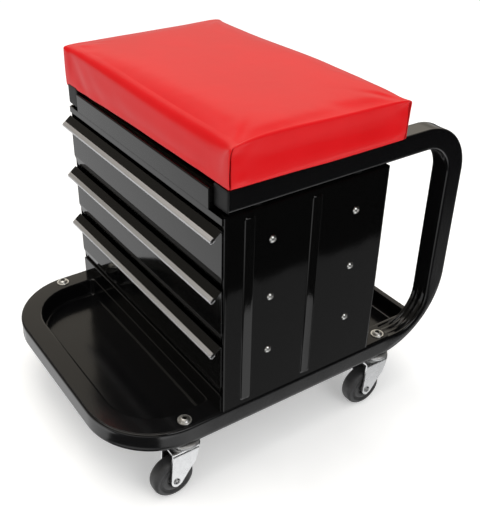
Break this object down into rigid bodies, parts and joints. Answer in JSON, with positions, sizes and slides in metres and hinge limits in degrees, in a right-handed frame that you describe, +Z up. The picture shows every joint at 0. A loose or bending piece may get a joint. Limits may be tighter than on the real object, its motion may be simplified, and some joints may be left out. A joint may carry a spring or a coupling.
{
  "type": "tool cart with seat",
  "caption": "Low rolling tool cart with a padded seat on top, a stack of drawers, open trays front and back, bent-tube handles and swivel casters.",
  "frame": {"origin": "on the floor below the middle of the cart's overall box", "axes": "+Z up, the drawers open towards -Y, the push handles are at +Y, +X is the cart's left-to-right width"},
  "size_m": [0.359, 0.461, 0.43],
  "materials": {
    "frame_paint": "gloss black stove enamel",
    "cabinet_paint": "gloss black stove enamel",
    "drawer_paint": "gloss black stove enamel",
    "trim_aluminium": "satin anodised extrusion",
    "slide_steel": "zinc plated",
    "screw_chrome": "polished nickel plate",
    "fixing_steel": "zinc plated",
    "cap_plastic": "moulded, fine texture",
    "seat_vinyl": "soft vinyl, fine grain, satin",
    "seat_plywood": "unsanded plywood",
    "caster_steel": "bright zinc plated pressing",
    "wheel_rubber": "hard rubber, satin",
    "wheel_hub": "moulded nylon"
  },
  "bodies": {
    "cart": {"base_tube": "frame_paint", "handle_tube_left": "frame_paint", "handle_tube_right": "frame_paint", "tube_end_caps": "cap_plastic", "tray": "frame_paint", "side_panel_left": "cabinet_paint", "side_panel_right": "cabinet_paint", "back_panel": "cabinet_paint", "cabinet_floor": "cabinet_paint", "cabinet_top": "cabinet_paint", "kick_strip": "cabinet_paint", "fascia": "cabinet_paint", "slide_rails_left": "slide_steel", "slide_rails_right": "slide_steel", "slide_screws": "screw_chrome", "slide_nuts": "fixing_steel", "rail_spacers": "cap_plastic", "rail_screws": "fixing_steel", "rail_nuts": "fixing_steel", "seat_crossbars": "frame_paint", "seat_screws": "fixing_steel", "seat_board": "seat_plywood", "seat_cushion": "seat_vinyl", "caster_cups": "caster_steel", "caster_balls": "screw_chrome", "caster_bolts": "screw_chrome", "caster_washers": "screw_chrome", "caster_nuts": "fixing_steel"},
    "top_drawer": {"top_drawer_front": "drawer_paint", "top_drawer_box": "drawer_paint", "top_drawer_trim": "trim_aluminium", "top_drawer_runners": "slide_steel"},
    "middle_drawer": {"middle_drawer_front": "drawer_paint", "middle_drawer_box": "drawer_paint", "middle_drawer_trim": "trim_aluminium", "middle_drawer_runners": "slide_steel"},
    "bottom_drawer": {"bottom_drawer_front": "drawer_paint", "bottom_drawer_box": "drawer_paint", "bottom_drawer_trim": "trim_aluminium", "bottom_drawer_runners": "slide_steel"},
    "front_left_swivel": {"front_left_fork": "caster_steel", "front_left_axle": "fixing_steel"},
    "front_left_wheel": {"front_left_tyre": "wheel_rubber", "front_left_hub": "wheel_hub"},
    "front_right_swivel": {"front_right_fork": "caster_steel", "front_right_axle": "fixing_steel"},
    "front_right_wheel": {"front_right_tyre": "wheel_rubber", "front_right_hub": "wheel_hub"},
    "rear_left_swivel": {"rear_left_fork": "caster_steel", "rear_left_axle": "fixing_steel"},
    "rear_left_wheel": {"rear_left_tyre": "wheel_rubber", "rear_left_hub": "wheel_hub"},
    "rear_right_swivel": {"rear_right_fork": "caster_steel", "rear_right_axle": "fixing_steel"},
    "rear_right_wheel": {"rear_right_tyre": "wheel_rubber", "rear_right_hub": "wheel_hub"}
  },
  "joints": [
    {"name": "top_drawer_slide", "type": "slide", "parent": "cart", "child": "top_drawer", "axis": [0, -1, 0], "range_m": [0, 0.15]},
    {"name": "middle_drawer_slide", "type": "slide", "parent": "cart", "child": "middle_drawer", "axis": [0, -1, 0], "range_m": [0, 0.15]},
    {"name": "bottom_drawer_slide", "type": "slide", "parent": "cart", "child": "bottom_drawer", "axis": [0, -1, 0], "range_m": [0, 0.15]},
    {"name": "front_left_swivel_turn", "type": "hinge", "parent": "cart", "child": "front_left_swivel", "pos_m": [-0.1625, -0.1461, 0.0652], "axis": [0, 0, 1], "continuous": true},
    {"name": "front_left_wheel_spin", "type": "hinge", "parent": "front_left_swivel", "child": "front_left_wheel", "pos_m": [-0.1625, -0.1656, 0.0256], "axis": [1, 0, 0], "continuous": true},
    {"name": "front_right_swivel_turn", "type": "hinge", "parent": "cart", "child": "front_right_swivel", "pos_m": [0.1625, -0.1461, 0.0652], "axis": [0, 0, 1], "continuous": true},
    {"name": "front_right_wheel_spin", "type": "hinge", "parent": "front_right_swivel", "child": "front_right_wheel", "pos_m": [0.1625, -0.1656, 0.0256], "axis": [1, 0, 0], "continuous": true},
    {"name": "rear_left_swivel_turn", "type": "hinge", "parent": "cart", "child": "rear_left_swivel", "pos_m": [-0.1625, 0.1392, 0.0652], "axis": [0, 0, 1], "continuous": true},
    {"name": "rear_left_wheel_spin", "type": "hinge", "parent": "rear_left_swivel", "child": "rear_left_wheel", "pos_m": [-0.1625, 0.1197, 0.0256], "axis": [1, 0, 0], "continuous": true},
    {"name": "rear_right_swivel_turn", "type": "hinge", "parent": "cart", "child": "rear_right_swivel", "pos_m": [0.1625, 0.1392, 0.0652], "axis": [0, 0, 1], "continuous": true},
    {"name": "rear_right_wheel_spin", "type": "hinge", "parent": "rear_right_swivel", "child": "rear_right_wheel", "pos_m": [0.1625, 0.1197, 0.0256], "axis": [1, 0, 0], "continuous": true}
  ]
}
